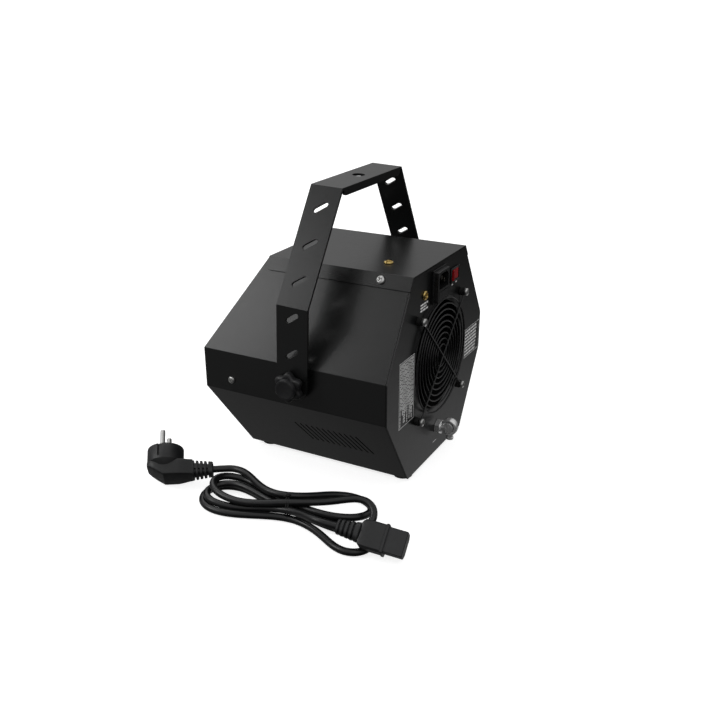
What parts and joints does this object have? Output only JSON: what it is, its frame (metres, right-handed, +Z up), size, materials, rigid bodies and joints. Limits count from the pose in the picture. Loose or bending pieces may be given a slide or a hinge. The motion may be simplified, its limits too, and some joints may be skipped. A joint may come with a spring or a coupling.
{
  "type": "bubble machine",
  "caption": "Folded sheet-steel stage bubble machine with a nose-shaped front, a guarded rear fan, a tilting hanging bracket on star knobs and a loose tied mains lead.",
  "frame": {"origin": "centre of the machine's footprint box, on the surface that its rubber feet stand on (the loose lead not counted)", "axes": "+Z up; -Y towards the bubble outlet in the nose, +Y towards the fan panel; +X towards the side with the near knob, beside which the lead lies"},
  "size_m": [0.3454, 0.294, 0.2905],
  "materials": {
    "powder_coat": "fine-grained satin black powder coat on folded sheet steel",
    "black_plastic": "moulded black plastic, slightly satin",
    "black_rubber": "matte black rubber",
    "cord_jacket": "semi-matte black flexible jacket",
    "lead_moulding": "moulded black plug and connector bodies",
    "contact_metal": "nickel-plated contact pins",
    "zinc_steel": "zinc-plated steel",
    "chrome": "polished chrome plating",
    "brass": "bare yellow brass",
    "red_plastic": "glossy red rocker",
    "tray_plastic": "natural white moulded plastic",
    "wheel_plastic": "green moulded plastic",
    "guard_wire": "black coated steel wire"
  },
  "bodies": {
    "wheels": {"bubble_wheel_front": "wheel_plastic", "bubble_wheel_rear": "wheel_plastic", "wheel_shaft": "zinc_steel"},
    "knob_far": {"clamp_knob_far": "black_plastic"},
    "knob_near": {"clamp_knob_near": "black_plastic"},
    "housing": {"drain_cock": "chrome", "drain_hose": "tray_plastic", "drain_lock_nut": "zinc_steel", "fan_frame": "black_plastic", "fan_guard": "guard_wire", "fluid_tray": "tray_plastic", "foot_far_front": "black_rubber", "foot_far_rear": "black_rubber", "foot_near_front": "black_rubber", "foot_near_rear": "black_rubber", "front_panel": "powder_coat", "guard_screw_1": "zinc_steel", "guard_screw_2": "zinc_steel", "guard_screw_3": "zinc_steel", "guard_screw_4": "zinc_steel", "guard_spacer_1": "black_rubber", "guard_spacer_2": "black_rubber", "guard_spacer_3": "black_rubber", "guard_spacer_4": "black_rubber", "housing_shell": "powder_coat", "inlet_pin_earth": "contact_metal", "inlet_pin_line": "contact_metal", "inlet_pin_neutral": "contact_metal", "lead_connector": "lead_moulding", "lead_hank": "cord_jacket", "lead_plug": "lead_moulding", "lead_plug_end": "cord_jacket", "lead_plug_pin_a": "contact_metal", "lead_plug_pin_b": "contact_metal", "lead_tie": "lead_moulding", "lid": "powder_coat", "lid_screw_1": "zinc_steel", "lid_screw_2": "zinc_steel", "lid_screw_3": "zinc_steel", "lid_screw_4": "zinc_steel", "lid_threaded_insert": "brass", "motor_bracket": "zinc_steel", "pivot_spacer_far": "black_rubber", "pivot_spacer_near": "black_rubber", "power_inlet": "black_plastic", "power_switch_frame": "black_plastic", "rear_panel": "powder_coat", "rear_threaded_insert": "brass", "side_screw_far": "zinc_steel", "side_screw_near": "zinc_steel", "wheel_motor": "zinc_steel"},
    "drain_handle": {"drain_knob": "chrome"},
    "fan_rotor": {"fan_impeller": "black_plastic"},
    "fuse_tray": {"fuse_drawer": "black_plastic"},
    "bracket": {"hanging_bracket": "powder_coat"},
    "rocker": {"power_switch_rocker": "red_plastic"}
  },
  "joints": [
    {"name": "bracket_tilt", "type": "hinge", "parent": "housing", "child": "bracket", "pos_m": [0, -0.0064, 0.11], "axis": [1, 0, 0], "range_deg": [-55, 60]},
    {"name": "knob_near_turn", "type": "hinge", "parent": "housing", "child": "knob_near", "pos_m": [0.131, -0.0064, 0.11], "axis": [1, 0, 0], "range_deg": [0, 360]},
    {"name": "knob_far_turn", "type": "hinge", "parent": "housing", "child": "knob_far", "pos_m": [-0.131, -0.0064, 0.11], "axis": [-1, 0, 0], "range_deg": [0, 360]},
    {"name": "fan_spin", "type": "hinge", "parent": "housing", "child": "fan_rotor", "pos_m": [0, 0.0708, 0.1159], "axis": [0, 1, 0], "continuous": true},
    {"name": "wheel_spin", "type": "hinge", "parent": "housing", "child": "wheels", "pos_m": [0, -0.0452, 0.108], "axis": [0, 1, 0], "continuous": true},
    {"name": "switch_rock", "type": "hinge", "parent": "housing", "child": "rocker", "pos_m": [-0.0335, 0.0915, 0.192], "axis": [0, 0, 1], "range_deg": [-16, 0]},
    {"name": "fuse_slide", "type": "slide", "parent": "housing", "child": "fuse_tray", "axis": [0, 1, 0], "range_m": [0, 0.012]},
    {"name": "drain_turn", "type": "hinge", "parent": "housing", "child": "drain_handle", "pos_m": [-0.0003, 0.1056, 0.0362], "axis": [1, 0, 0], "range_deg": [0, 90]}
  ]
}
